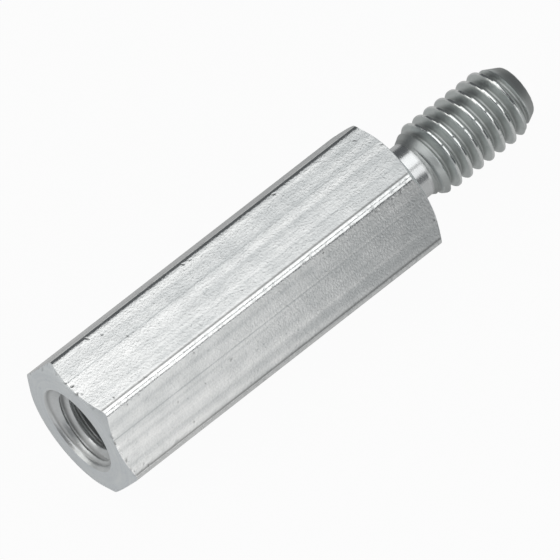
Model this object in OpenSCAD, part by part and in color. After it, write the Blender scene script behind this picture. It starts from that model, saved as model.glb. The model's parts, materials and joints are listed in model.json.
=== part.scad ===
// Hexagonal standoff with a threaded hole in one end and a threaded stud on the other.
// It is turned from one length of drawn hexagon bar and lies on one of its flats.
// Millimetres, +Z up. The axis runs along X with the stud at +X, and the origin is on the
// surface that it lies on, under the middle of its length.
// The stud is drawn at the diameter of its thread crests and the hole at its tapping size.

/* [Hexagon bar] */
// Width of the bar across its flats
across_flats = 7; // [6:0.5:12]
// Radius of the drawn bar's corners
corner_radius = 0.45; // [0.1:0.05:0.6]
// Length of the hexagon between its two end faces
body_length = 20; // [16:0.5:40]

/* [Turned ends] */
// How far the chamfer round the mouth reaches in past the flats
mouth_chamfer = 0.05; // [0.05:0.05:0.5]
// How far the chamfer round the shoulder reaches in past the flats
shoulder_chamfer = 0.1; // [0.05:0.05:0.5]
// Slope of both chamfers, measured from the end face
end_chamfer_angle = 30; // [15:1:45]

/* [Stud] */
// Diameter over the crests of the stud's thread
stud_diameter = 3.9; // [3:0.1:5]
// Length of the stud from the shoulder to its tip
stud_length = 8; // [6:0.5:16]
// Depth of the relief neck below the thread's crests
neck_depth = 0.475; // [0.3:0.025:0.7]
// Length of the neck before it rises to the thread
neck_length = 1.45; // [0.5:0.05:2.5]
// Slope of the rise from the neck to the thread, measured from the axis
neck_rise_angle = 30; // [25:1:60]
// Depth of the tip's chamfer below the thread's crests
tip_chamfer = 0.6; // [0.2:0.05:0.8]
// Slope of the tip's chamfer, measured from the axis
tip_chamfer_angle = 27; // [25:1:60]

/* [Hole] */
// Diameter of the hole before it is tapped
hole_diameter = 3.3; // [2.5:0.1:4]
// Depth from the mouth to the end of the straight wall
hole_depth = 12; // [6:0.5:14]
// Angle of the drill's point
drill_point_angle = 118; // [90:1:140]
// Width of the countersink's slope round the hole, seen from its mouth
countersink_width = 0.75; // [0.2:0.05:0.9]
// Full angle of the countersink
countersink_angle = 90; // [60:1:140]

/* [Hidden] */
$fn = 96;

// How far a tool or the stock runs past the face that it cuts or is cut to
overrun = 1;
// Angle between neighbouring corners of the bar
corner_step = 60;
// Half of the bar's width, which is also the height of the axis
flat_height = across_flats / 2;
// Distance from the axis to the centre of a corner's round
corner_centre = (flat_height - corner_radius) / cos(corner_step / 2);
// Width of the flat that two corner rounds leave between them
flat_width = 2 * (flat_height - corner_radius) * tan(corner_step / 2);
// Radius that clears the bar's corners
swing_radius = corner_centre + corner_radius + overrun;
// Length from the mouth to the tip
overall_length = body_length + stud_length;
// Colour of bright zinc on steel
zinc = [0.77, 0.79, 0.80];

// Section of the drawn bar: three crossing slabs carry the flats, and a round fills each corner
module bar_section() {
    for (turn = [0 : corner_step : 180 - corner_step])
        rotate(turn)
            square([across_flats, flat_width], center = true);
    for (turn = [0 : corner_step : 360 - corner_step])
        rotate(turn + corner_step / 2)
            translate([corner_centre, 0])
                circle(r = corner_radius);
}

// Bar stock, longer than the part at both ends
module bar_stock() {
    translate([0, 0, -overrun])
        linear_extrude(overall_length + 2 * overrun)
            bar_section();
}

// Distance along the axis over which an end's chamfer runs out past the bar's corners
function chamfer_run(face_radius) = (swing_radius - face_radius) * tan(end_chamfer_angle);

// What turning leaves: both end chamfers, the shoulder, the neck, the thread's blank and the tip
module turned_form() {
    mouth_radius = flat_height - mouth_chamfer;
    shoulder_radius = flat_height - shoulder_chamfer;
    stud_radius = stud_diameter / 2;
    neck_radius = stud_radius - neck_depth;
    tip_radius = stud_radius - tip_chamfer;
    neck_end = body_length + neck_length;
    thread_start = neck_end + neck_depth / tan(neck_rise_angle);
    thread_end = overall_length - tip_chamfer / tan(tip_chamfer_angle);
    rotate_extrude()
        polygon([
            [0, 0],
            [mouth_radius, 0],
            [swing_radius, chamfer_run(mouth_radius)],
            [swing_radius, body_length - chamfer_run(shoulder_radius)],
            [shoulder_radius, body_length],
            [neck_radius, body_length],
            [neck_radius, neck_end],
            [stud_radius, thread_start],
            [stud_radius, thread_end],
            [tip_radius, overall_length],
            [0, overall_length]
        ]);
}

// What the drill and the countersink take out of the mouth
module drilled_hole() {
    hole_radius = hole_diameter / 2;
    sink_slope = tan(countersink_angle / 2);
    sink_depth = countersink_width / sink_slope;
    point_depth = hole_radius / tan(drill_point_angle / 2);
    rotate_extrude()
        polygon([
            [0, -overrun],
            [hole_radius + countersink_width + overrun * sink_slope, -overrun],
            [hole_radius, sink_depth],
            [hole_radius, hole_depth],
            [0, hole_depth + point_depth]
        ]);
}

// The finished part: bar stock turned to form and drilled, laid down on a flat
module hex_standoff() {
    color(zinc)
        translate([-overall_length / 2, 0, flat_height])
            rotate([0, 90, 0])
                difference() {
                    intersection() {
                        bar_stock();
                        turned_form();
                    }
                    drilled_hole();
                }
}

hex_standoff();
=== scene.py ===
# %% [markdown]
# # A zinc-plated hexagon standoff
# A standoff holds a board away from a panel. A screw goes into its threaded hole, and its stud goes
# through the panel into a nut. The real one is cut from drawn hexagon bar, turned, drilled and
# threaded, and then plated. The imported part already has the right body, so this lesson gives it
# what a solid model leaves out: the two threads, the small knocks of a part that was tipped into a
# bin with others, and the finish of each surface.

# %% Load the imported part
import json
import math
import random

import bmesh
import bpy
from mathutils import Matrix, Vector
from mathutils.kdtree import KDTree


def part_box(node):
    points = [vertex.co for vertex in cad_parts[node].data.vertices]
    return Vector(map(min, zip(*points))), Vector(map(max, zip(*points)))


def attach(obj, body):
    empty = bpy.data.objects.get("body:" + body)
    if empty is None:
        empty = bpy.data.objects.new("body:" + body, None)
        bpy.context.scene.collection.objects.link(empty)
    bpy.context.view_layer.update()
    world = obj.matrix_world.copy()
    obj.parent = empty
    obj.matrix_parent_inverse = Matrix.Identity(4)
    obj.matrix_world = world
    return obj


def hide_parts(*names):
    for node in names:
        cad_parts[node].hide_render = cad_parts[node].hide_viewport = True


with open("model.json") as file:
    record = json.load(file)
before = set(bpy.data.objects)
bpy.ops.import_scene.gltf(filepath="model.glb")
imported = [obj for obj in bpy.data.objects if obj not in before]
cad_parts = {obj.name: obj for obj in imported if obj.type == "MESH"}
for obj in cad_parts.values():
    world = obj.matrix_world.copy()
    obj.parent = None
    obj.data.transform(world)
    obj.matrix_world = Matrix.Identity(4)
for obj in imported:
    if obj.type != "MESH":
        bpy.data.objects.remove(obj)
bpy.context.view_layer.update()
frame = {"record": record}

# %% [markdown]
# ## The measures
# A model that repeats numbers soon disagrees with itself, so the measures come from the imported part
# wherever it states them: its box gives the bar and the overall length, and its two threaded mounts
# give the stud and the hole. Only what the part does not state, such as the pitch of the thread, is
# written down here.

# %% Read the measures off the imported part
MM = 0.001
MICRON = 1e-6
STEP = math.radians(60)

low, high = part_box("hex_standoff")
mounts = {mount["name"]: mount for mount in frame["record"]["mounts"]}


def wall_ends(mount):
    """Where a round mount's straight wall starts and ends along the axis."""
    middle, half_length = mount["pos_m"][0], mount["dims"]["length_mm"] * MM / 2
    return middle - half_length, middle + half_length


flat_height = (high.z - low.z) / 2
corner_reach = high.y
sharp_reach = flat_height / math.cos(STEP / 2)
corner_radius = (sharp_reach - corner_reach) / (sharp_reach / flat_height - 1)
mouth_x, tip_x = low.x, high.x
shoulder_x = mounts["shoulder_face"]["pos_m"][0]
stud_radius = mounts["stud"]["dims"]["r_mm"] * MM
crest_start_x, crest_end_x = wall_ends(mounts["stud"])
hole_radius = mounts["screw_hole"]["dims"]["r_mm"] * MM
sink_end_x, hole_end_x = wall_ends(mounts["screw_hole"])

pitch = 0.7 * MM
mouth_face_radius = flat_height - 0.05 * MM
shoulder_face_radius = flat_height - 0.1 * MM
neck_depth = 0.475 * MM
tapped_depth = 10 * MM
tip_round = 0.2 * MM
rise_slope = math.tan(math.radians(30))
tip_slope = math.tan(math.radians(27))
sink_slope = math.tan(math.radians(90 / 2))
end_chamfer_slope = math.tan(math.radians(30))
drill_point_slope = math.tan(math.radians(118 / 2))
print("corner radius:", round(corner_radius / MM, 3), "mm")
print("stud:", round(stud_radius * 2 / MM, 2), "mm over its crests")

# %% [markdown]
# ## The camera
# The photograph looks down on the part along a line that is almost square to the bar, from far
# away, so the far end is hardly smaller than the near one. A camera can be turned by hand until it
# fits, but here its three axes are worked out from what can be measured in the picture: the slope
# of the bar, how far the bar leans out of the picture's plane, and how far its top flat is turned
# away from the viewer.

# %% Aim the camera
PICTURE = 560
pixels_per_metre = 21020
bar_slope = math.radians(37.875)
bar_lean = math.radians(19.06)
flat_turn = math.radians(27.03)
body_middle_pixel = (235.05, 308.36)
camera_distance = 0.77

across = Vector((0, math.cos(flat_turn), math.sin(flat_turn)))
along = Vector((0, -math.sin(flat_turn), math.cos(flat_turn))) * math.sin(bar_lean)
along.x = math.cos(bar_lean)
to_camera = along.cross(across)
picture_right = math.cos(bar_slope) * along - math.sin(bar_slope) * across
picture_up = math.sin(bar_slope) * along + math.cos(bar_slope) * across
body_middle = Vector(((mouth_x + shoulder_x) / 2, 0, flat_height))


def seen_at(pixel):
    """The point level with the body's middle that the picture shows at a pixel."""
    right = (pixel[0] - body_middle_pixel[0]) / pixels_per_metre
    up = (body_middle_pixel[1] - pixel[1]) / pixels_per_metre
    return body_middle + right * picture_right + up * picture_up


camera_data = bpy.data.cameras.new("camera")
camera_data.sensor_width = 36
camera_data.lens = camera_data.sensor_width * camera_distance * pixels_per_metre / PICTURE
camera = bpy.data.objects.new("camera", camera_data)
facing = Matrix((picture_right, picture_up, to_camera)).transposed().to_4x4()
target = seen_at((PICTURE / 2, PICTURE / 2))
camera.matrix_world = Matrix.Translation(target + camera_distance * to_camera) @ facing
bpy.context.scene.collection.objects.link(camera)
bpy.context.scene.camera = camera
bpy.context.scene.view_settings.view_transform = "Standard"
print("camera looks down at", round(math.degrees(math.asin(to_camera.z)), 1), "degrees")

# %% [markdown]
# ## The light and the floor
# Bright metal has little colour of its own and shows what stands round it. Two soft boxes hang over
# the bar, side by side with a narrow gap, and the gap is what draws the thin dark line along the
# bar's rounded edges and across the neck. A low card in front lights the front flat, but it is too
# short to show in the end of the flat by the stud, so the flat darkens that way. A small, warmer
# card beyond the mouth lights the countersink. The rest of the room is dim, so that the edges keep
# their dark side.

# %% Hang the soft boxes
WHITE, WARM = (1.0, 1.0, 1.0), (1.0, 0.99, 0.955)


def soft_box(name, centre, aim, width, length, level, tint=WHITE):
    """A rectangular lamp that faces aim, with its length along the bar. Level is how bright it looks."""
    lamp = bpy.data.lights.new(name, "AREA")
    lamp.shape = "RECTANGLE"
    lamp.size = length
    lamp.size_y = width
    lamp.color = tint
    lamp.energy = level * math.pi * length * width
    box = bpy.data.objects.new(name, lamp)
    back = (Vector(centre) - Vector(aim)).normalized()
    side = Vector((1, 0, 0))
    side = (side - side.dot(back) * back).normalized()
    facing = Matrix((side, back.cross(side), back)).transposed().to_4x4()
    box.matrix_world = Matrix.Translation(centre) @ facing
    box.visible_camera = False
    bpy.context.scene.collection.objects.link(box)


soft_box("rear_soft_box", (-0.04, 0.036, 0.2), (-0.04, 0.036, 0), width=0.207, length=0.34, level=1.2)
soft_box("front_soft_box", (0.0, -0.22, 0.2), (0.0, -0.22, 0), width=0.25, length=0.34, level=1.05)
soft_box("front_card", (-0.032, -0.054, 0.0125), (-0.032, 0, 0.0125), width=0.025, length=0.1, level=0.82)
soft_box("mouth_card", (-0.085, 0.04, 0.035), (0, 0, 0), width=0.06, length=0.05, level=1.1, tint=WARM)

world = bpy.data.worlds.new("dim_room")
world.use_nodes = True
world.node_tree.nodes["Background"].inputs["Color"].default_value = (0.10, 0.105, 0.11, 1)
bpy.context.scene.world = world

# %% [markdown]
# The floor is a sheet of white paper. The camera sees it nearly as bright as paper can be, with a
# faint shadow, while the metal sees it as a duller sheet. Both come from one material that asks
# what kind of ray has met it.

# %% Lay the floor
GLOW_SHARES = {"Is Camera Ray": 0.96, "Is Transmission Ray": 0.96, "Is Glossy Ray": 0.32}
floor_half, floor_drop = 0.6, 0.01 * MM
floor_corners = ((-1, -1), (1, -1), (1, 1), (-1, 1))
floor_mesh = bpy.data.meshes.new("floor")
floor_places = [(x * floor_half, y * floor_half, -floor_drop) for x, y in floor_corners]
floor_mesh.from_pydata(floor_places, [], [(0, 1, 2, 3)])
floor = bpy.data.objects.new("floor", floor_mesh)
bpy.context.scene.collection.objects.link(floor)

paper = bpy.data.materials.new("white_paper")
paper.use_nodes = True
nodes, links = paper.node_tree.nodes, paper.node_tree.links
nodes.clear()
sheet = nodes.new("ShaderNodeBsdfDiffuse")
sheet.inputs["Color"].default_value = (0.38, 0.38, 0.38, 1)
glow = nodes.new("ShaderNodeEmission")
glow.inputs["Color"].default_value = (1, 1, 1, 1)
glow.inputs["Strength"].default_value = 1
ray = nodes.new("ShaderNodeLightPath")
share = None
for kind, part in GLOW_SHARES.items():
    step = nodes.new("ShaderNodeMath")
    step.operation = "MULTIPLY_ADD"
    links.new(ray.outputs[kind], step.inputs[0])
    step.inputs[1].default_value = part
    step.inputs[2].default_value = 0
    if share is not None:
        links.new(share, step.inputs[2])
    share = step.outputs[0]
mixed = nodes.new("ShaderNodeMixShader")
links.new(share, mixed.inputs["Fac"])
links.new(sheet.outputs[0], mixed.inputs[1])
links.new(glow.outputs[0], mixed.inputs[2])
output = nodes.new("ShaderNodeOutputMaterial")
links.new(mixed.outputs[0], output.inputs["Surface"])
floor_mesh.materials.append(paper)
print("floor:", floor_half * 2, "m square")

# %% [markdown]
# ## The finishes
# One bath of zinc covers the whole part, but each surface was made in its own way before it went
# in: the flats were drawn, the ends turned, the stud rolled and the hole tapped. Every rule below,
# for a finish or for a shape, is a sum worked out by nodes, so a small class first lets such sums
# be written as ordinary arithmetic.

# %% Write sums as nodes
class Value:
    """A number that a node tree works out, so that a rule can be written as ordinary arithmetic."""

    def __init__(self, tree, socket):
        self.tree = tree
        self.socket = socket

    def __add__(self, other):
        return work_out(self.tree, "ADD", self, other)

    def __radd__(self, other):
        return work_out(self.tree, "ADD", other, self)

    def __sub__(self, other):
        return work_out(self.tree, "SUBTRACT", self, other)

    def __rsub__(self, other):
        return work_out(self.tree, "SUBTRACT", other, self)

    def __mul__(self, other):
        return work_out(self.tree, "MULTIPLY", self, other)

    def __rmul__(self, other):
        return work_out(self.tree, "MULTIPLY", other, self)

    def __truediv__(self, other):
        return work_out(self.tree, "DIVIDE", self, other)

    def __rtruediv__(self, other):
        return work_out(self.tree, "DIVIDE", other, self)


def plug(tree, term, socket):
    """Links a value into a socket, or sets the socket to a plain number."""
    if isinstance(term, Value):
        tree.links.new(term.socket, socket)
    else:
        socket.default_value = term


def work_out(tree, operation, *terms):
    """One Math node of the tree, with its terms plugged in."""
    node = tree.nodes.new("ShaderNodeMath")
    node.operation = operation
    for term, socket in zip(terms, node.inputs):
        plug(tree, term, socket)
    return Value(tree, node.outputs[0])


def clamp(tree, term):
    """The term, kept between nought and one."""
    return work_out(tree, "MINIMUM", work_out(tree, "MAXIMUM", term, 0), 1)


print("sums are ready")

# %% [markdown]
# Three kinds of mark show on the zinc. The plate itself is a fine grain with pits, the drawn flats
# carry lines along the bar, and a lathe leaves rings. A photograph could be laid over the part, but
# it would be blurred close up and would carry its own light with it, so each mark is a rule that
# starts from the place on the part. This first group says where a point is: how far along the bar,
# how far from the axis, on which flat and how far across it.

# %% Tell the place on the part
def new_group(name, inputs, outputs):
    """An empty shader group with named inputs, each with its usual value, and named outputs."""
    group = bpy.data.node_groups.new(name, "ShaderNodeTree")
    for label, usual in inputs.items():
        socket = group.interface.new_socket(name=label, in_out="INPUT", socket_type="NodeSocketFloat")
        socket.default_value = usual
    for label in outputs:
        group.interface.new_socket(name=label, in_out="OUTPUT", socket_type="NodeSocketFloat")
    source, result = group.nodes.new("NodeGroupInput"), group.nodes.new("NodeGroupOutput")
    taken = {label: Value(group, source.outputs[label]) for label in inputs}
    return group, taken, result


def place_group(tree, group, **values):
    """Puts a group into a tree with its own values and gives its outputs by name."""
    node = tree.nodes.new("ShaderNodeGroup")
    node.node_tree = group
    for label, value in values.items():
        plug(tree, value, node.inputs[label])
    return {socket.name: Value(tree, socket) for socket in node.outputs}


bearings, taken, result = new_group(
    "place_on_part", {"Axis height": flat_height}, ("Along", "Radius", "Across", "Flat")
)
where = bearings.nodes.new("ShaderNodeTexCoord")
split = bearings.nodes.new("ShaderNodeSeparateXYZ")
bearings.links.new(where.outputs["Object"], split.inputs[0])
sideways = Value(bearings, split.outputs["Y"])
upwards = Value(bearings, split.outputs["Z"]) - taken["Axis height"]
radius = work_out(bearings, "SQRT", sideways * sideways + upwards * upwards)
turn = work_out(bearings, "ARCTAN2", 0 - sideways, upwards)
flat = work_out(bearings, "ROUND", turn / STEP)
plug(bearings, Value(bearings, split.outputs["X"]), result.inputs["Along"])
plug(bearings, radius, result.inputs["Radius"])
plug(bearings, radius * work_out(bearings, "SINE", turn - flat * STEP), result.inputs["Across"])
plug(bearings, flat, result.inputs["Flat"])
print("group:", bearings.name, [socket.name for socket in result.inputs if socket.name])

# %% [markdown]
# Zinc settles as a skin of fine crystals, so the plate looks like very fine leather close up, with
# a few pits.

# %% Grain of the plate
def noise(tree, vector, scale, detail):
    """Soft random spots, as a value that swings evenly round nought."""
    node = tree.nodes.new("ShaderNodeTexNoise")
    tree.links.new(vector, node.inputs["Vector"])
    plug(tree, scale, node.inputs["Scale"])
    node.inputs["Detail"].default_value = detail
    return Value(tree, node.outputs["Fac"]) - 0.5


grain, taken, result = new_group("plated_grain", {"Size": 0.11 * MM}, ("Shade", "Height"))
where = grain.nodes.new("ShaderNodeTexCoord").outputs["Object"]
fine = noise(grain, where, 1 / taken["Size"], 2)
cloud = noise(grain, where, 0.1 / taken["Size"], 2)
pits = clamp(grain, (noise(grain, where, 0.5 / taken["Size"], 1) - 0.16) * 7)
plug(grain, fine * 0.6 + cloud * 0.9 - pits * 0.6, result.inputs["Shade"])
plug(grain, fine + cloud * 0.8 - pits * 0.3, result.inputs["Height"])
print("group:", grain.name)

# %% [markdown]
# The die that the bar was pulled through left fine lines along each flat, and one deeper line a
# third of the way across. Noise that is stretched along the bar draws the fine ones, and the deep
# one has its own place. The flats are also painted darker towards the stud, a painted shade for
# the light that falls off that way.

# %% Lines of the drawing die, with a painted fade
def as_vector(tree, *terms):
    """Three values as the place of a point."""
    node = tree.nodes.new("ShaderNodeCombineXYZ")
    for term, socket in zip(terms, node.inputs):
        plug(tree, term, socket)
    return node.outputs[0]


lines, taken, result = new_group(
    "drawing_lines", {"Width": 0.12 * MM, "Die mark": -0.56 * MM}, ("Shade", "Height")
)
at = place_group(lines, bearings)
over = at["Across"] / taken["Width"]
thin = noise(lines, as_vector(lines, at["Along"] * 60, over, at["Flat"] * 7.3), 1, 2)
wide = noise(lines, as_vector(lines, at["Along"] * 40, over * 0.25, at["Flat"] * 3.1), 1, 1)
off_mark = (at["Across"] - taken["Die mark"]) / (0.035 * MM)
mark = work_out(lines, "EXPONENT", 0 - off_mark * off_mark)
broken = mark * (noise(lines, as_vector(lines, at["Along"] * 900, at["Flat"] * 5.7, 0), 1, 1) + 0.7)
# Painted shade: the flats darken towards the stud, where less light falls on them.
painted_fade = (at["Along"] - mouth_x) / (shoulder_x - mouth_x) - 0.25
plug(lines, thin * 0.45 + wide * 1.8 - broken - painted_fade * 0.7, result.inputs["Shade"])
plug(lines, thin - broken, result.inputs["Height"])
print("group:", lines.name)

# %% [markdown]
# A lathe tool leaves a ring for each turn of its feed, on the faces and in the neck alike.

# %% Rings of the lathe
rings, taken, result = new_group("turning_rings", {"Feed": 0.1 * MM}, ("Shade", "Height"))
at = place_group(rings, bearings)
steps = (at["Radius"] + at["Along"]) / taken["Feed"]
uneven = noise(rings, as_vector(rings, steps * 0.6, at["Flat"] * 0.2, 0), 1, 2)
groove = work_out(rings, "SINE", steps * math.tau + uneven * 3)
plug(rings, uneven, result.inputs["Shade"])
plug(rings, groove * 0.3 + uneven, result.inputs["Height"])
print("group:", rings.name)

# %% [markdown]
# Edges and crests that are rubbed by other parts end up paler and smoother. Here the paleness is
# also a painted highlight, which brightens the glints on the thread's crests. The skin below notes
# how near each point is to an edge, and this group breaks that up into patches.

# %% Rubbed edges and painted glints
wear_and_glint_group, taken, result = new_group("rubbed_edges", {"Amount": 1.0, "Speck": 0.2 * MM}, ("Mask",))
near = wear_and_glint_group.nodes.new("ShaderNodeAttribute")
near.attribute_name = "edge"
speck = noise(wear_and_glint_group, wear_and_glint_group.nodes.new("ShaderNodeTexCoord").outputs["Object"], 1 / taken["Speck"], 2)
# A mask for paler metal: partly real wear, partly a painted highlight on the crests.
wear_and_glint = Value(wear_and_glint_group, near.outputs["Fac"]) * taken["Amount"] * (speck * 4 + 1) - 0.25
plug(wear_and_glint_group, clamp(wear_and_glint_group, wear_and_glint * 1.3), result.inputs["Mask"])
print("group:", wear_and_glint_group.name)

# %% [markdown]
# Each finish blends a dull and a pale zinc by its marks, which also change how rough it is and
# stand up as bumps a few microns high. Rubbing wears the bumps down. Edges and crests are mixed
# towards a paler zinc, partly as real wear and partly as a painted highlight for the glints on the
# crests. Nicks, seams and the bottoms of grooves are painted dark and made rougher, as painted
# shade for the light that does not reach into them.

# %% Mix the zinc finishes
# A near-white zinc for paler edges and crests, partly wear and partly painted highlight, and a dark colour
# painted into hollows as shade.
WEAR_AND_GLINT_COLOUR, PAINTED_SHADE_COLOUR = (0.97, 0.98, 0.97), (0.17, 0.17, 0.165)
WEAR_AND_GLINT_SHARE, PAINTED_SHADE_SHARE = 0.6, 0.85
SHADE_POLISH, RUB_FLATTENING, SHADED_HOLLOW_ROUGHNESS = 0.04, 0.7, 0.15


def mixed_colour(tree, share, under, over):
    """A mix of two colours by a share. The one under may be an earlier mix."""
    mix = tree.nodes.new("ShaderNodeMix")
    mix.data_type = "RGBA"
    plug(tree, share, mix.inputs["Factor"])
    if isinstance(under, tuple):
        mix.inputs[6].default_value = (*under, 1)
    else:
        tree.links.new(under, mix.inputs[6])
    mix.inputs[7].default_value = (*over, 1)
    return mix.outputs[2]


def zinc_finish(name, dull, pale, roughness, marks, wear_and_glint_amount, polish):
    """One finish of the zinc. Marks gives groups, each with its shading and its height in microns."""
    material = bpy.data.materials.new(name)
    material.use_nodes = True
    tree = material.node_tree
    tone, rough, height = 0.5, roughness, 0.0
    for group, shade, microns in marks:
        mark = place_group(tree, group)
        tone = tone + mark["Shade"] * shade
        rough = rough - mark["Shade"] * (shade * SHADE_POLISH)
        height = height + mark["Height"] * (microns * MICRON)
    wear_and_glint = place_group(tree, wear_and_glint_group, Amount=wear_and_glint_amount)["Mask"]
    # Painted shade: the hollow attribute darkens nicks, seams and groove bottoms towards a dark colour and
    # makes them rougher.
    sunk = tree.nodes.new("ShaderNodeAttribute")
    sunk.attribute_name = "hollow"
    grime = Value(tree, sunk.outputs["Fac"])
    colour = mixed_colour(tree, tone, dull, pale)
    # Partly painted highlight: edges and crests are mixed towards a near-white zinc, which also stands for
    # wear.
    colour = mixed_colour(tree, wear_and_glint * WEAR_AND_GLINT_SHARE, colour, WEAR_AND_GLINT_COLOUR)
    colour = mixed_colour(tree, grime * PAINTED_SHADE_SHARE, colour, PAINTED_SHADE_COLOUR)
    bump = tree.nodes.new("ShaderNodeBump")
    bump.inputs["Distance"].default_value = 1
    plug(tree, height * (1 - wear_and_glint * RUB_FLATTENING), bump.inputs["Height"])
    shader = tree.nodes["Principled BSDF"]
    shader.inputs["Metallic"].default_value = 1
    tree.links.new(colour, shader.inputs["Base Color"])
    plug(tree, rough - wear_and_glint * polish + grime * SHADED_HOLLOW_ROUGHNESS, shader.inputs["Roughness"])
    tree.links.new(bump.outputs[0], shader.inputs["Normal"])
    return material


drawn_zinc = zinc_finish(
    "drawn_zinc",
    dull=(0.60, 0.62, 0.62),
    pale=(1.0, 1.0, 0.985),
    roughness=0.3,
    marks=[(grain, 0.7, 14), (lines, 0.8, 2)],
    wear_and_glint_amount=1.0,
    polish=0.18,
)
turned_zinc = zinc_finish(
    "turned_zinc",
    dull=(0.80, 0.84, 0.87),
    pale=(0.97, 1.0, 1.0),
    roughness=0.42,
    marks=[(grain, 0.9, 6), (rings, 1.0, 2)],
    wear_and_glint_amount=0.5,
    polish=0.06,
)
rolled_zinc = zinc_finish(
    "rolled_zinc",
    dull=(0.56, 0.59, 0.58),
    pale=(0.80, 0.835, 0.82),
    roughness=0.37,
    marks=[(grain, 0.6, 5), (rings, 0.2, 0)],
    wear_and_glint_amount=1.8,
    polish=0.24,
)
tapped_zinc = zinc_finish(
    "tapped_zinc",
    dull=(0.66, 0.68, 0.685),
    pale=(0.95, 0.965, 0.965),
    roughness=0.36,
    marks=[(grain, 0.6, 4), (rings, 0.5, 1.5)],
    wear_and_glint_amount=0.5,
    polish=0.06,
)
bright_zinc = zinc_finish(
    "bright_zinc",
    dull=(0.66, 0.68, 0.68),
    pale=(0.88, 0.89, 0.89),
    roughness=0.25,
    marks=[(grain, 0.3, 2), (rings, 0.4, 0.8)],
    wear_and_glint_amount=0.0,
    polish=0.0,
)
finishes = [drawn_zinc, turned_zinc, rolled_zinc, tapped_zinc, bright_zinc]
DRAWN, TURNED, ROLLED, TAPPED, BRIGHT = range(len(finishes))
print("finishes:", [finish.name for finish in finishes])

# %% [markdown]
# ## The skin of the part
# Every surface here is turned round one axis, so the whole skin can be one cloth of rows and
# columns: the columns run round the axis and the rows from the bottom of the hole, out over the bar
# and along the stud to its tip. The bar is the same cloth with a radius that changes with the
# angle, and a thread is the same cloth sheared along the axis by one pitch in a turn. A tree of
# Geometry Nodes follows those rules and sews the sheets together.

# %% Start the tree with a named input for each size
FINE_TURNS = 2
skin = bpy.data.node_groups.new("standoff_skin", "GeometryNodeTree")
skin.is_modifier = True
skin.interface.new_socket(name="Geometry", in_out="OUTPUT", socket_type="NodeSocketGeometry")

sizes = {
    "Axis height": flat_height,
    "Corner radius": corner_radius,
    "Mouth": mouth_x,
    "Shoulder": shoulder_x,
    "Tip": tip_x,
    "Mouth face radius": mouth_face_radius,
    "Shoulder face radius": shoulder_face_radius,
    "End margin": 0.9 * MM,
    "Pitch": pitch,
    "Crest radius": stud_radius,
    "Neck radius": stud_radius - neck_depth,
    "Neck end": crest_start_x - neck_depth / rise_slope,
    "Rise slope": rise_slope,
    "Tip radius": stud_radius - (tip_x - crest_end_x) * tip_slope,
    "Tip slope": tip_slope,
    "Tip round": tip_round,
    "Hole radius": hole_radius,
    "Countersink end": sink_end_x,
    "Countersink slope": sink_slope,
    "Fine end": mouth_x + FINE_TURNS * pitch,
    "Tap end": mouth_x + tapped_depth,
    "Hole end": hole_end_x,
    "Drill point slope": drill_point_slope,
    "End chamfer slope": end_chamfer_slope,
    "Stud thread turn": 0.40,
    "Hole thread turn": 0.335,
}
size_sockets = {}
for name in sizes:
    size_sockets[name] = skin.interface.new_socket(
        name=name, in_out="INPUT", socket_type="NodeSocketFloat"
    )
given = skin.nodes.new("NodeGroupInput")


def size(name):
    """The tree's own input of that name."""
    return Value(skin, given.outputs[name])


def node(operation, *terms):
    """One sum of the skin's tree."""
    return work_out(skin, operation, *terms)


print("sizes:", len(sizes))

# %% [markdown]
# The columns stand closer together on the rounded corners than on the flats, because that is where
# the bar bends. The same columns run through every sheet, so that neighbouring sheets meet point on
# point.

# %% Lay out the columns and the bar's outline
FLAT_COLUMNS, CORNER_COLUMNS = 20, 8
SECTOR_COLUMNS = FLAT_COLUMNS + CORNER_COLUMNS
COLUMNS = 6 * SECTOR_COLUMNS
half_flat = math.atan((flat_height - corner_radius) * math.tan(STEP / 2) / flat_height)
seam_depth, seam_half_turn = 0.01 * MM, 0.004


def crowd(share):
    """Steps from nought to one that get shorter towards one."""
    return 0.5 * share + 0.5 * node("SINE", share * (math.pi / 2))


def blank_sheet(rows):
    """A flat sheet of points, with the column and the row of each point as values."""
    sheet = skin.nodes.new("GeometryNodeMeshGrid")
    sheet.inputs["Size X"].default_value = COLUMNS
    sheet.inputs["Size Y"].default_value = rows
    sheet.inputs["Vertices X"].default_value = COLUMNS + 1
    sheet.inputs["Vertices Y"].default_value = rows + 1
    place = skin.nodes.new("GeometryNodeInputPosition")
    split = skin.nodes.new("ShaderNodeSeparateXYZ")
    skin.links.new(place.outputs[0], split.inputs[0])
    column = node("ROUND", Value(skin, split.outputs["X"]) + COLUMNS / 2)
    row = node("ROUND", Value(skin, split.outputs["Y"]) + rows / 2)
    return sheet, column, row


def turn_of(column):
    """The angle round the axis at which a column stands, from the middle of the top flat."""
    sector = node("FLOOR", (column + 0.001) / SECTOR_COLUMNS)
    step = column - sector * SECTOR_COLUMNS
    first_flat = crowd(clamp(skin, step / (FLAT_COLUMNS / 2)))
    corner = clamp(skin, (step - FLAT_COLUMNS / 2) / CORNER_COLUMNS)
    past_corner = (step - FLAT_COLUMNS / 2 - CORNER_COLUMNS) / (FLAT_COLUMNS / 2)
    last_flat = 1 - crowd(1 - clamp(skin, past_corner))
    return sector * STEP + (first_flat + last_flat) * half_flat + corner * (STEP - 2 * half_flat)


def off_flat(turn):
    """How far an angle is from the middle of the nearest flat."""
    return node("ABSOLUTE", turn - node("ROUND", turn / STEP) * STEP)


def seam(turn):
    """Where the die has left a fine seam: down one side of each corner, where its round begins."""
    past_middle = turn - node("ROUND", turn / STEP) * STEP
    return clamp(skin, 1 - node("ABSOLUTE", past_middle - half_flat) / seam_half_turn)


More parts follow.
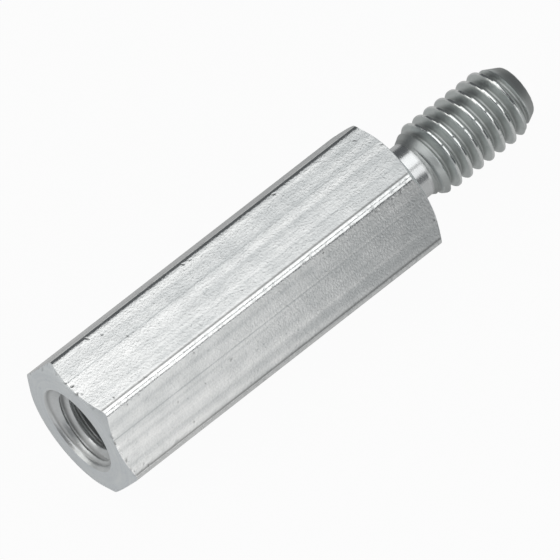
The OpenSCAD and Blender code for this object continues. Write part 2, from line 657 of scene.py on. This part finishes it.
def bar_reach(turn):
    """The distance from the axis to the bar's skin at an angle: flats with rounded corners."""
    off_corner = STEP / 2 - off_flat(turn)
    centre = (size("Axis height") - size("Corner radius")) / math.cos(STEP / 2)
    sideways = centre * node("SINE", off_corner)
    depth = node("MAXIMUM", size("Corner radius") * size("Corner radius") - sideways * sideways, 0)
    round_reach = centre * node("COSINE", off_corner) + node("SQRT", depth)
    flat_reach = size("Axis height") / node("COSINE", off_flat(turn))
    on_corner = node("GREATER_THAN", off_flat(turn), half_flat + 1e-5)
    return flat_reach + on_corner * (round_reach - flat_reach) - seam(turn) * seam_depth


print("columns:", COLUMNS)

# %% [markdown]
# A plain sheet runs straight from one ring to the next. Each ring is a place along the axis and a
# distance from it, and on the bar both change round the ring, where the chamfers cut the corners
# deeper than the flats.

# %% Wrap the plain sheets
sheets = []


def note(geometry, name, kind, domain, value):
    """Stores a named value on each face or point of a sheet."""
    store = skin.nodes.new("GeometryNodeStoreNamedAttribute")
    store.data_type = kind
    store.domain = domain
    store.inputs["Name"].default_value = name
    plug(skin, value, store.inputs["Value"])
    skin.links.new(geometry, store.inputs["Geometry"])
    return store.outputs["Geometry"]


def wrap(sheet, turn, place, reach, finish, edge=0.0, hollow=0.0):
    """Notes a sheet's finish, edges and hollows, then moves its points to their place round the axis."""
    noted = note(sheet.outputs["Mesh"], "finish", "INT", "FACE", finish)
    noted = note(noted, "edge", "FLOAT", "POINT", edge)
    noted = note(noted, "hollow", "FLOAT", "POINT", hollow)
    spot = skin.nodes.new("ShaderNodeCombineXYZ")
    plug(skin, place, spot.inputs["X"])
    plug(skin, 0 - reach * node("SINE", turn), spot.inputs["Y"])
    plug(skin, size("Axis height") + reach * node("COSINE", turn), spot.inputs["Z"])
    moved = skin.nodes.new("GeometryNodeSetPosition")
    skin.links.new(noted, moved.inputs["Geometry"])
    skin.links.new(spot.outputs[0], moved.inputs["Position"])
    sheets.append(moved.outputs["Geometry"])


def nowhere(turn, place):
    """The rule for a sheet that is rubbed nowhere, or has no hollows."""
    return 0.0


def bar_edges(turn, place):
    """The rule for the bar, which is rubbed along its corners and at its ends."""
    corner = clamp(skin, 1.6 * (off_flat(turn) - half_flat) / (STEP / 2 - half_flat))
    off_end = node("MINIMUM", place - size("Mouth"), size("Shoulder") - place)
    return node("MAXIMUM", corner, clamp(skin, 0.7 - off_end / (0.35 * MM)))


def bar_hollows(turn, place):
    """The rule for the bar's seams, which are painted dark as shade."""
    # Painted shade: the seam line is painted dark.
    return seam(turn) * 0.85


def plain_sheet(start, end, rows, finish, edge_rule=nowhere, hollow_rule=nowhere):
    """A sheet that runs straight from a start ring to an end ring, each given by a rule."""
    sheet, column, row = blank_sheet(rows)
    turn = turn_of(column)
    share = row / rows
    start_place, start_reach = start(turn)
    end_place, end_reach = end(turn)
    place = start_place + share * (end_place - start_place)
    reach = start_reach + share * (end_reach - start_reach)
    wrap(sheet, turn, place, reach, finish, edge_rule(turn, place), hollow_rule(turn, place))


def ring(place, reach):
    """The rule for a true circle."""
    return lambda turn: (place, reach)


def bar_ring(place):
    """The rule for a ring square round the bar."""
    return lambda turn: (place, bar_reach(turn))


def bar_edge(face, face_radius, inwards):
    """The rule for the edge where an end chamfer meets the bar's skin."""

    def edge(turn):
        reach = bar_reach(turn)
        cut = node("MAXIMUM", reach - face_radius, 0) * size("End chamfer slope")
        return face + inwards * cut, reach

    return edge


sink_radius = size("Hole radius") + (size("Countersink end") - size("Mouth")) * size("Countersink slope")
tip_turn = (math.pi / 2 - math.atan(tip_slope)) / 2
tip_face_radius = size("Tip radius") - size("Tip round") * math.tan(tip_turn)

drill_point_place = size("Hole end") + size("Hole radius") / size("Drill point slope")
hole_point = ring(drill_point_place, size("Hole radius") * 0)
hole_bottom = ring(size("Hole end"), size("Hole radius"))
tap_end = ring(size("Tap end"), size("Hole radius"))
sink_rim = ring(size("Mouth"), sink_radius)
mouth_rim = ring(size("Mouth"), size("Mouth face radius"))
mouth_edge = bar_edge(size("Mouth"), size("Mouth face radius"), 1)
mouth_side = bar_ring(size("Mouth") + size("End margin"))
shoulder_side = bar_ring(size("Shoulder") - size("End margin"))
shoulder_edge = bar_edge(size("Shoulder"), size("Shoulder face radius"), -1)
shoulder_rim = ring(size("Shoulder"), size("Shoulder face radius"))
neck_foot = ring(size("Shoulder"), size("Neck radius"))
neck_end = ring(size("Neck end"), size("Neck radius"))
tip_rim = ring(size("Tip"), tip_face_radius)
tip_middle = ring(size("Tip"), tip_face_radius * 0)

bar_skin = {"finish": DRAWN, "edge_rule": bar_edges, "hollow_rule": bar_hollows}
plain_sheet(hole_point, hole_bottom, rows=4, finish=TAPPED)
plain_sheet(hole_bottom, tap_end, rows=3, finish=TAPPED)
plain_sheet(sink_rim, mouth_rim, rows=6, finish=TURNED)
plain_sheet(mouth_rim, mouth_edge, rows=3, finish=TURNED)
plain_sheet(mouth_edge, mouth_side, rows=8, **bar_skin)
plain_sheet(mouth_side, shoulder_side, rows=106, **bar_skin)
plain_sheet(shoulder_side, shoulder_edge, rows=8, **bar_skin)
plain_sheet(shoulder_edge, shoulder_rim, rows=3, finish=TURNED)
plain_sheet(shoulder_rim, neck_foot, rows=6, finish=TURNED)
plain_sheet(neck_foot, neck_end, rows=10, finish=BRIGHT)
plain_sheet(tip_rim, tip_middle, rows=5, finish=TURNED)
print("plain sheets:", len(sheets))

# %% [markdown]
# A thread is a ridge that climbs one pitch in each turn. It could be swept along a helix, but then
# it would have to be cut off where it runs out. Here each row of the sheet is a helix already, so a
# row keeps its place on the ridge all the way round, and the ridge simply sinks into the cone at
# either end. The crests are rounded, as rolling and plating leave them, and the grooves between
# them are nearly sharp.

# %% Wind the thread of the stud
FLANK = math.tan(math.radians(30))
STUD_ROWS_PER_TURN = 18
ROOT_PAINTED_SHADE, RUN_IN_PAINTED_SHADE = 0.5, 0.3
crest_blend, root_blend = 0.03 * MM, 0.06 * MM
wear_and_glint_depth, shade_start, shade_spread = 0.05 * MM, 0.26 * MM, 0.12 * MM


def ridge_sheet(start, end, rows_per_turn, turns, thread_turn):
    """A sheet whose rows are helices between two places, and how far each point is off a crest."""
    sheet, column, row = blank_sheet(rows_per_turn * turns)
    turn = turn_of(column)
    free_place = start + size("Pitch") * (row / rows_per_turn + turn / math.tau - 1)
    place = node("MAXIMUM", start, node("MINIMUM", end, free_place))
    phase = (place - start) / size("Pitch") - turn / math.tau + thread_turn
    off_crest = node("ABSOLUTE", phase - node("ROUND", phase)) * size("Pitch")
    return sheet, turn, place, off_crest


def tip_cap(place):
    """The stud's end: a cone that runs into a small round at the tip."""
    cone = size("Tip radius") + (size("Tip") - place) * size("Tip slope")
    cap_start = size("Tip") - size("Tip round") * math.tan(tip_turn) * math.cos(math.atan(tip_slope))
    into_cap = place - size("Tip") + size("Tip round")
    depth = node("MAXIMUM", size("Tip round") * size("Tip round") - into_cap * into_cap, 0)
    cap = tip_face_radius + node("SQRT", depth)
    return cone + node("GREATER_THAN", place, cap_start) * (cap - cone)


stud_turns = math.ceil((tip_x - crest_start_x + neck_depth / rise_slope) / pitch) + 1
sheet, turn, place, off_crest = ridge_sheet(
    size("Neck end"), size("Tip"), STUD_ROWS_PER_TURN, stud_turns, size("Stud thread turn")
)
crest_half_width, thread_depth = size("Pitch") / 14, size("Pitch") * 0.6
flank = size("Crest radius") - (off_crest - crest_half_width) / FLANK
ridge = node("SMOOTH_MIN", flank, size("Crest radius"), crest_blend)
ridge = node("SMOOTH_MAX", ridge, size("Crest radius") - thread_depth, root_blend)
rise = size("Neck radius") + (place - size("Neck end")) * size("Rise slope")
reach = node("MINIMUM", ridge, node("MINIMUM", rise, tip_cap(place)))
below_crest = size("Crest radius") - reach
# The crests are paler, partly from wear and partly as a painted highlight for their glint.
crest = clamp(skin, 1 - below_crest / wear_and_glint_depth)
# Painted shade: the groove bottoms and the cone where the thread runs in are painted dark.
root = clamp(skin, (below_crest - shade_start) / shade_spread) * ROOT_PAINTED_SHADE
run_in = node("GREATER_THAN", ridge, rise) * RUN_IN_PAINTED_SHADE
wrap(sheet, turn, place, reach, ROLLED, crest, node("MAXIMUM", root, run_in))
print("turns of the stud's thread:", stud_turns)

# %% [markdown]
# The tapped hole is the same ridge turned inside out. Its first turns are in plain sight and get
# many rows, and the deep ones get few. The countersink cuts the ridge away at the mouth and carries
# a shallow score, a little off its middle, where the tool that cut it was lifted.

# %% Tap the hole
score_turn = math.pi + flat_turn
score_depth, score_half_width, score_blend = 0.05 * MM, 0.09 * MM, 0.3
score_place, score_swing = 0.19 * MM, 0.06 * MM
tap_crest_blend, tap_root_blend, run_out_slope = 0.05 * MM, 0.08 * MM, 0.3
tap_shade_start, tap_shade_spread = 0.12 * MM, 0.15 * MM


def tapped_sheet(start, end, rows_per_turn, turns):
    """A stretch of the tapped hole: the thread, its run-out and the countersink at the mouth."""
    depth = start - size("Mouth")
    start_turn = depth / size("Pitch") + size("Hole thread turn")
    sheet, turn, place, off_crest = ridge_sheet(start, end, rows_per_turn, turns, start_turn)
    crest_half_width, thread_depth = size("Pitch") / 8, size("Pitch") * 0.54
    flank = size("Hole radius") + (off_crest - crest_half_width) / FLANK
    groove = node("SMOOTH_MAX", flank, size("Hole radius"), tap_crest_blend)
    groove = node("SMOOTH_MIN", groove, size("Hole radius") + thread_depth, tap_root_blend)
    run_out = size("Hole radius") + (size("Tap end") - place) * run_out_slope
    groove = node("MAXIMUM", node("MINIMUM", groove, run_out), size("Hole radius"))
    depth = place - size("Mouth")
    off_score = depth - score_place + node("SINE", turn - score_turn) * score_swing
    near_score = 1 - node("ABSOLUTE", off_score) / score_half_width
    score = node("SMOOTH_MAX", near_score, 0, score_blend) * score_depth
    sink = sink_radius - depth * size("Countersink slope")
    sink = sink + score * clamp(skin, depth / score_half_width)
    # Painted shade: the thread's groove bottoms and the score in the countersink are painted dark.
    in_groove = clamp(skin, (groove - size("Hole radius") - tap_shade_start) / tap_shade_spread)
    thread_root = in_groove * node("GREATER_THAN", groove, sink)
    hollow = node("MAXIMUM", thread_root * ROOT_PAINTED_SHADE, score / score_depth * ROOT_PAINTED_SHADE)
    wrap(sheet, turn, place, node("MAXIMUM", groove, sink), TAPPED, 0.0, hollow)


deep_turns = math.ceil(tapped_depth / pitch) - FINE_TURNS + 1
tapped_sheet(size("Mouth"), size("Fine end"), rows_per_turn=20, turns=FINE_TURNS + 1)
tapped_sheet(size("Fine end"), size("Tap end"), rows_per_turn=6, turns=deep_turns)
print("turns of the hole's thread:", FINE_TURNS, "fine and", deep_turns, "deep")

# %% [markdown]
# The sheets are joined, and the points that lie on each other along their edges become one. Then
# every face is given the finish that was noted on it, and the tree is baked into a plain mesh.

# %% Sew the sheets together
sew_distance = 0.002 * MM


def through(kind, geometry):
    """Passes the geometry through one more node of the tree and gives that node."""
    step = skin.nodes.new(kind)
    skin.links.new(geometry, step.inputs["Geometry"])
    return step


def wears(number):
    """Which faces were noted with a finish of that number."""
    noted = skin.nodes.new("GeometryNodeInputNamedAttribute")
    noted.data_type = "INT"
    noted.inputs["Name"].default_value = "finish"
    same = skin.nodes.new("FunctionNodeCompare")
    same.data_type = "INT"
    same.operation = "EQUAL"
    skin.links.new(noted.outputs["Attribute"], same.inputs[2])
    same.inputs[3].default_value = number
    return same.outputs[0]


joined = skin.nodes.new("GeometryNodeJoinGeometry")
for socket in sheets:
    skin.links.new(socket, joined.inputs["Geometry"])
sewn = through("GeometryNodeMergeByDistance", joined.outputs[0])
sewn.inputs["Distance"].default_value = sew_distance
smooth = through("GeometryNodeSetShadeSmooth", sewn.outputs[0])
dressed = through("GeometryNodeRealizeInstances", smooth.outputs[0])
for number, finish in enumerate(finishes):
    dressed = through("GeometryNodeSetMaterial", dressed.outputs[0])
    dressed.inputs["Material"].default_value = finish
    skin.links.new(wears(number), dressed.inputs["Selection"])
out = skin.nodes.new("NodeGroupOutput")
skin.links.new(dressed.outputs[0], out.inputs["Geometry"])

seed = bpy.data.objects.new("seed", bpy.data.meshes.new("seed"))
bpy.context.scene.collection.objects.link(seed)
modifier = seed.modifiers.new("standoff_skin", "NODES")
modifier.node_group = skin
for name, value in sizes.items():
    modifier[size_sockets[name].identifier] = value
depsgraph = bpy.context.evaluated_depsgraph_get()
mesh = bpy.data.meshes.new_from_object(seed.evaluated_get(depsgraph))
bpy.data.objects.remove(seed)
while None in list(mesh.materials):
    mesh.materials.pop(index=list(mesh.materials).index(None))
mesh.name = "standoff"
print("skin:", len(mesh.vertices), "points,", [material.name for material in mesh.materials])

# %% [markdown]
# ## Knocks and nicks
# Parts like this are plated and packed loose, so the soft edges pick up nicks. The plainest ones in
# the photograph are put back where it shows them, on the top flat and the front one. The rest are
# strewn by a fixed seed, most of them along the ends and corners, so that the sides that the
# photograph hides look like the ones that it shows.

# %% List the nicks
TOP_NICKS = [(103, 334), (128, 335), (137, 345), (201, 324), (242, 290), (140, 380), (115, 396)]
TOP_END_NICKS = [(355, 140), (370, 142), (382, 144)]
FRONT_NICKS = [(140, 394), (179, 401), (195, 421), (206, 383), (232, 359), (392, 198), (401, 191)]
FRONT_EDGE_NICKS = [(178, 441), (145, 463), (136, 470)]
TOP, FRONT = 0, 1
END_NICKS, CORNER_NICKS, FLAT_NICKS = 9, 5, 6

chance = random.Random(11)
nicks = []


def outward(flat):
    """The direction that a flat faces, counted from the top one towards the front."""
    return Vector((0, -math.sin(flat * STEP), math.cos(flat * STEP)))


def add_nick(centre, flat, smallest, largest):
    """Notes a nick on a flat: an oval hollow with a size, a depth and a slant left to chance."""
    half_width = chance.uniform(smallest, largest)
    nicks.append(
        {
            "centre": centre,
            "out": outward(flat),
            "half_width": half_width,
            "half_length": half_width * chance.uniform(1.2, 3.2),
            "depth": half_width * chance.uniform(0.3, 0.6),
            # How dark the nick is painted, as shade, left to chance.
            "grime": chance.uniform(0.2, 0.9),
            "slant": chance.uniform(0, math.pi),
        }
    )


def seen_nick(pixel, flat, smallest, largest):
    """A nick where the photograph shows it on a flat."""
    point = seen_at(pixel)
    short = flat_height - (point - body_middle).dot(outward(flat))
    add_nick(point + to_camera * (short / to_camera.dot(outward(flat))), flat, smallest, largest)


def strewn_nick(place, across_flat, flat, smallest, largest):
    """A nick at a place along the bar and a distance across a flat."""
    over = Vector((0, -math.cos(flat * STEP), -math.sin(flat * STEP)))
    centre = Vector((place, 0, flat_height)) + outward(flat) * flat_height + over * across_flat
    add_nick(centre, flat, smallest, largest)


for pixel in TOP_NICKS + TOP_END_NICKS:
    seen_nick(pixel, TOP, 0.035 * MM, 0.065 * MM)
for pixel in FRONT_NICKS + FRONT_EDGE_NICKS:
    seen_nick(pixel, FRONT, 0.04 * MM, 0.075 * MM)

flat_half_width = (flat_height - corner_radius) * math.tan(STEP / 2)
for flat in range(6):
    for count in range(END_NICKS):
        off_end = chance.uniform(0.02, 0.25) * MM
        place = chance.choice((mouth_x + off_end, mouth_x + off_end, shoulder_x - off_end))
        strewn_nick(place, chance.uniform(-flat_half_width, flat_half_width), flat, 0.035 * MM, 0.08 * MM)
    for count in range(CORNER_NICKS):
        place = chance.uniform(mouth_x + 1 * MM, shoulder_x - 1 * MM)
        side = chance.choice((-1, 1)) * flat_half_width * chance.uniform(0.94, 1.02)
        strewn_nick(place, side, flat, 0.04 * MM, 0.07 * MM)
    for count in range(0 if flat in (TOP, FRONT) else FLAT_NICKS):
        place = chance.uniform(mouth_x + 1 * MM, shoulder_x - 1 * MM)
        strewn_nick(place, chance.uniform(-flat_half_width, flat_half_width), flat, 0.045 * MM, 0.085 * MM)
print("nicks:", len(nicks))

# %% [markdown]
# The skin is too coarse for hollows of a tenth of a millimetre, so the faces round each nick are
# cut up first. Each point under a nick is then pushed in, deepest in the middle, and notes how deep
# in the nick it lies, which the finish paints dark as shade.

# %% Close the mesh and press the nicks in
work = bmesh.new()
work.from_mesh(mesh)
hollows = work.verts.layers.float["hollow"]
bmesh.ops.remove_doubles(work, verts=work.verts, dist=sew_distance)
bmesh.ops.dissolve_degenerate(work, edges=work.edges, dist=0.0005 * MM)
bmesh.ops.recalc_face_normals(work, faces=work.faces)

drawn_slot = mesh.materials.find(drawn_zinc.name)
drawn_faces = [face for face in work.faces if face.material_index == drawn_slot]
face_tree = KDTree(len(drawn_faces))
for index, face in enumerate(drawn_faces):
    face_tree.insert(face.calc_center_median(), index)
face_tree.balance()
struck = set()
for nick in nicks:
    for spot, index, distance in face_tree.find_range(nick["centre"], nick["half_length"] + 0.1 * MM):
        struck.add(drawn_faces[index])
struck_edges = list({edge for face in struck for edge in face.edges})
bmesh.ops.subdivide_edges(work, edges=struck_edges, cuts=3, use_grid_fill=True)

points = list(work.verts)
point_tree = KDTree(len(points))
for index, point in enumerate(points):
    point_tree.insert(point.co, index)
point_tree.balance()
bar_way = Vector((1, 0, 0))
for nick in nicks:
    side_way = nick["out"].cross(bar_way)
    length_way = bar_way * math.cos(nick["slant"]) + side_way * math.sin(nick["slant"])
    width_way = nick["out"].cross(length_way)
    for spot, index, distance in point_tree.find_range(nick["centre"], nick["half_length"]):
        off = spot - nick["centre"]
        length_share = off.dot(length_way) / nick["half_length"]
        width_share = off.dot(width_way) / nick["half_width"]
        share = math.hypot(length_share, width_share)
        if share < 1:
            hollow = (1 - share * share) ** 2
            points[index].co -= nick["out"] * nick["depth"] * hollow
            # Painted shade: the deeper a point lies in the nick, the darker it is painted.
            points[index][hollows] = max(points[index][hollows], hollow * nick["grime"])

open_edges = [edge for edge in work.edges if len(edge.link_faces) != 2]
triangles = sum(len(face.verts) - 2 for face in work.faces)
print("faces cut up for nicks:", len(struck), "open or doubled edges:", len(open_edges))
print("volume", round(work.calc_volume() * 1e9, 2), "mm3, triangles:", triangles)
work.to_mesh(mesh)
work.free()
mesh.set_sharp_from_angle(angle=math.radians(35))

# %% [markdown]
# ## Hand over
# The finished skin takes the place of the imported solid. It stays inside the solid's box, because
# threads and nicks only take metal away.

# %% Put the skin in the solid's place
standoff = bpy.data.objects.new("standoff", mesh)
bpy.context.scene.collection.objects.link(standoff)
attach(standoff, "root")
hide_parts("hex_standoff")
